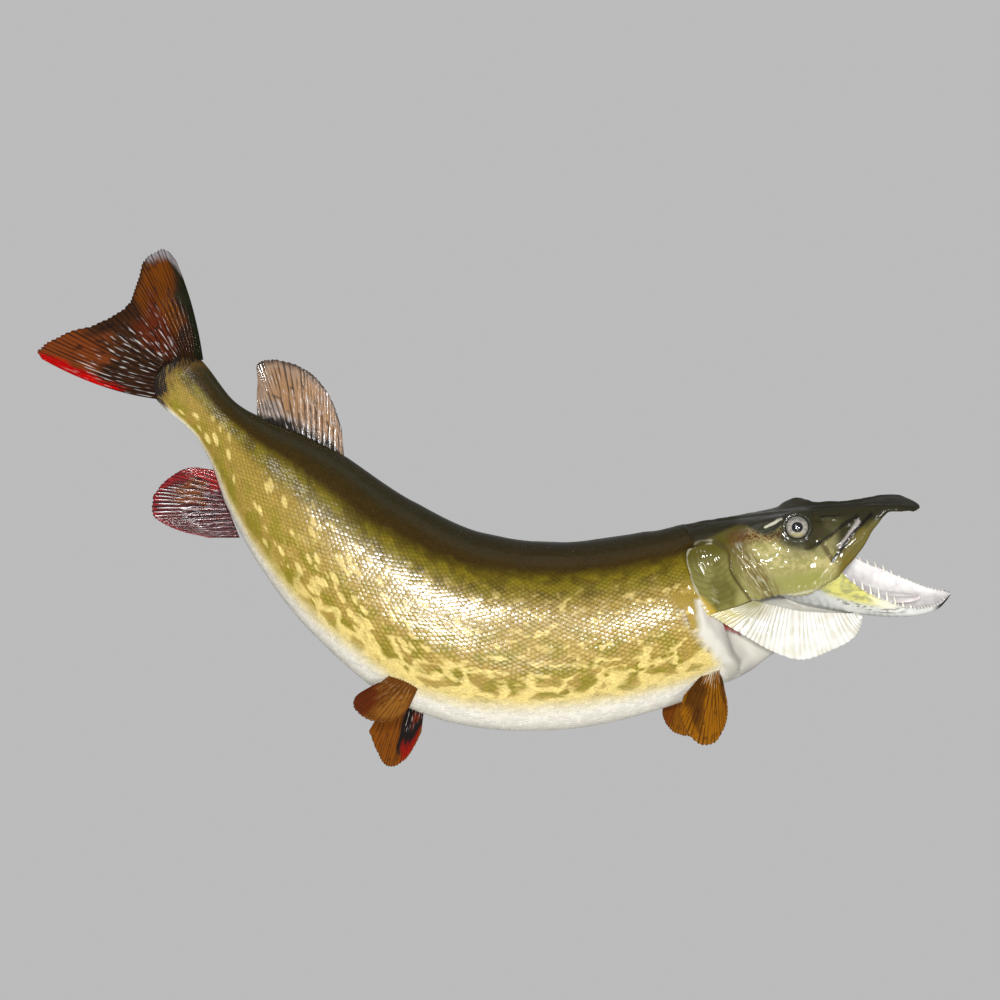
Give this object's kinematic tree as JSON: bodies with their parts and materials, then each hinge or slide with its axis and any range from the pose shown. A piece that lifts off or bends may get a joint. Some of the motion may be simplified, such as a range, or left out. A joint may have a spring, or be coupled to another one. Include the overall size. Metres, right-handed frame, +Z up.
{
  "type": "mounted pike",
  "caption": "Full-round mounted northern pike for a wall, curved body, open toothed mouth, spread fins and gill fans, hidden hanger.",
  "frame": {"origin": "middle of the hanger block's flat back face, on the wall's plane", "axes": "+X along the fish towards its snout, +Y into the wall, +Z up; the side that faces the room is the fish's right side, towards -Y"},
  "size_m": [0.91, 0.1565, 0.5229],
  "materials": {
    "flank_skin": "dried fish skin, painted and lacquered to a high gloss",
    "head_skin": "painted and lacquered skin over bone, high gloss",
    "pale_skin": "cream belly and throat skin, high gloss",
    "fan_skin": "white ribbed membrane, glossy",
    "mouth_lining": "lilac-white mouth lining, glossy",
    "gill_red": "dark red, glossy",
    "fin_brown": "stiff dried fin, red-brown with dark rays, lacquered",
    "fin_crimson": "stiff dried fin, crimson with black rays, lacquered",
    "fin_amber": "stiff dried fin, amber-brown with dark rays, lacquered",
    "glass_eye": "polished glass over a painted iris",
    "pine": "sawn and sanded, unvarnished",
    "steel": "zinc-plated, dull"
  },
  "bodies": {
    "root": {"tail_stalk": "flank_skin", "trunk_rear": "flank_skin", "trunk_front": "flank_skin", "throat": "pale_skin", "head": "head_skin", "lower_jaw": "head_skin", "tongue": "mouth_lining", "eye_right": "glass_eye", "eye_left": "glass_eye", "gill_cover_right": "head_skin", "gill_cover_left": "head_skin", "gill_fan_right": "fan_skin", "gill_fan_left": "fan_skin", "gill_comb_right": "gill_red", "gill_comb_left": "gill_red", "tail_fin": "fin_brown", "dorsal_fin": "fin_brown", "anal_fin": "fin_crimson", "pelvic_fin_right": "fin_amber", "pelvic_fin_left": "fin_amber", "pectoral_fin_right": "fin_amber", "pectoral_fin_left": "fin_amber", "hanger_block": "pine", "hanger_plate": "steel"}
  },
  "joints": []
}
